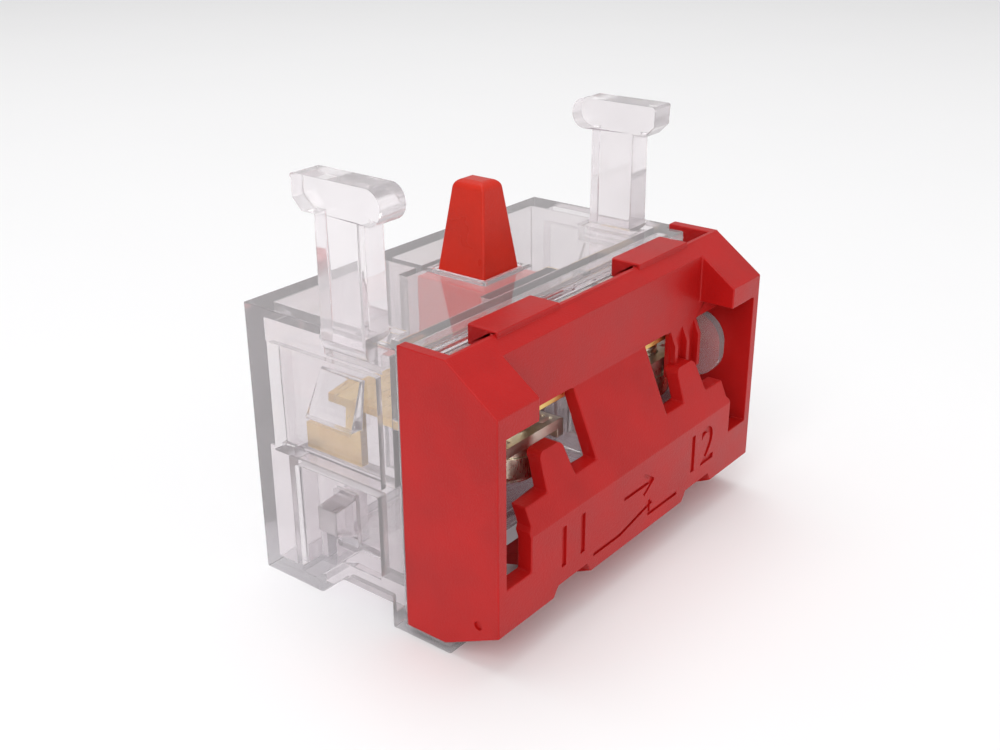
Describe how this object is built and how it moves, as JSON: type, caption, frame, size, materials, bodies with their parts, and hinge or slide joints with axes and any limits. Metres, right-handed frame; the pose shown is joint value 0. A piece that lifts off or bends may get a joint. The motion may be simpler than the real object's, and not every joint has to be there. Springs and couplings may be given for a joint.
{
  "type": "emergency stop button contact block",
  "caption": "Clear contact block of an emergency stop button with a red terminal cover, a sprung plunger that opens the contacts and T-headed snap hooks.",
  "frame": {"origin": "middle of the block's footprint, level with the bottom of its feet", "axes": "X along the block (its longest way), -Y towards the red terminal cover, +Z the way the plunger and hooks point"},
  "size_m": [0.042, 0.028, 0.0392],
  "materials": {
    "clear_plastic": "clear polycarbonate, moulded gloss",
    "red_plastic": "semi-gloss moulded, fine texture",
    "orange_red_plastic": "satin moulded",
    "brass": "rolled sheet, bright",
    "silver": "silver alloy, bright",
    "nickel_plated_steel": "nickel plated, bright",
    "zinc_plated_steel": "zinc plated, satin",
    "spring_steel": "drawn wire"
  },
  "bodies": {
    "block": {"clear_housing": "clear_plastic", "base_plate": "clear_plastic", "terminal_cover": "red_plastic", "terminal_strip_left": "brass", "terminal_strip_right": "brass", "fixed_contact_left": "silver", "fixed_contact_right": "silver", "return_spring": "spring_steel"},
    "plunger": {"plunger": "orange_red_plastic", "contact_spring": "spring_steel"},
    "bridge": {"contact_bridge": "brass", "bridge_contact_left": "silver", "bridge_contact_right": "silver", "spring_cap": "brass"},
    "clamp_left": {"saddle_clamp_left": "zinc_plated_steel", "spring_washer_left": "nickel_plated_steel"},
    "screw_left": {"terminal_screw_left": "nickel_plated_steel"},
    "hook_left": {"snap_hook_left": "clear_plastic"},
    "clamp_right": {"saddle_clamp_right": "zinc_plated_steel", "spring_washer_right": "nickel_plated_steel"},
    "screw_right": {"terminal_screw_right": "nickel_plated_steel"},
    "hook_right": {"snap_hook_right": "clear_plastic"}
  },
  "joints": [
    {"name": "plunger_slide", "type": "slide", "parent": "block", "child": "plunger", "axis": [0, 0, -1], "range_m": [0, 0.0043], "stiffness_N_per_m": 900, "deforming": ["return_spring"]},
    {"name": "bridge_slide", "type": "slide", "parent": "block", "child": "bridge", "axis": [0, 0, -1], "range_m": [0, 0.00344], "deforming": ["contact_spring"]},
    {"name": "clamp_lift_left", "type": "slide", "parent": "block", "child": "clamp_left", "axis": [0, 0, 1], "range_m": [0, 0.0017]},
    {"name": "screw_turn_left", "type": "hinge", "parent": "clamp_left", "child": "screw_left", "pos_m": [-0.0106, -0.0067, 0.014], "axis": [0, 0, 1], "range_deg": [0, 1020.01]},
    {"name": "hook_flex_left", "type": "hinge", "parent": "block", "child": "hook_left", "pos_m": [-0.0195, 0.00205, 0.026], "axis": [0, 1, 0], "range_deg": [-3, 3], "stiffness_Nm_per_rad": 6.3},
    {"name": "clamp_lift_right", "type": "slide", "parent": "block", "child": "clamp_right", "axis": [0, 0, 1], "range_m": [0, 0.0017]},
    {"name": "screw_turn_right", "type": "hinge", "parent": "clamp_right", "child": "screw_right", "pos_m": [0.0106, -0.0067, 0.014], "axis": [0, 0, 1], "range_deg": [0, 1020.01]},
    {"name": "hook_flex_right", "type": "hinge", "parent": "block", "child": "hook_right", "pos_m": [0.0187, 0.00155, 0.026], "axis": [0, 1, 0], "range_deg": [-3, 3], "stiffness_Nm_per_rad": 6.3}
  ],
  "couplings": [
    {"joint": "bridge_slide", "follows": "plunger_slide", "ratio": 0.8},
    {"joint": "screw_turn_left", "follows": "clamp_lift_left", "rad_per_m": 10472},
    {"joint": "screw_turn_right", "follows": "clamp_lift_right", "rad_per_m": 10472}
  ]
}
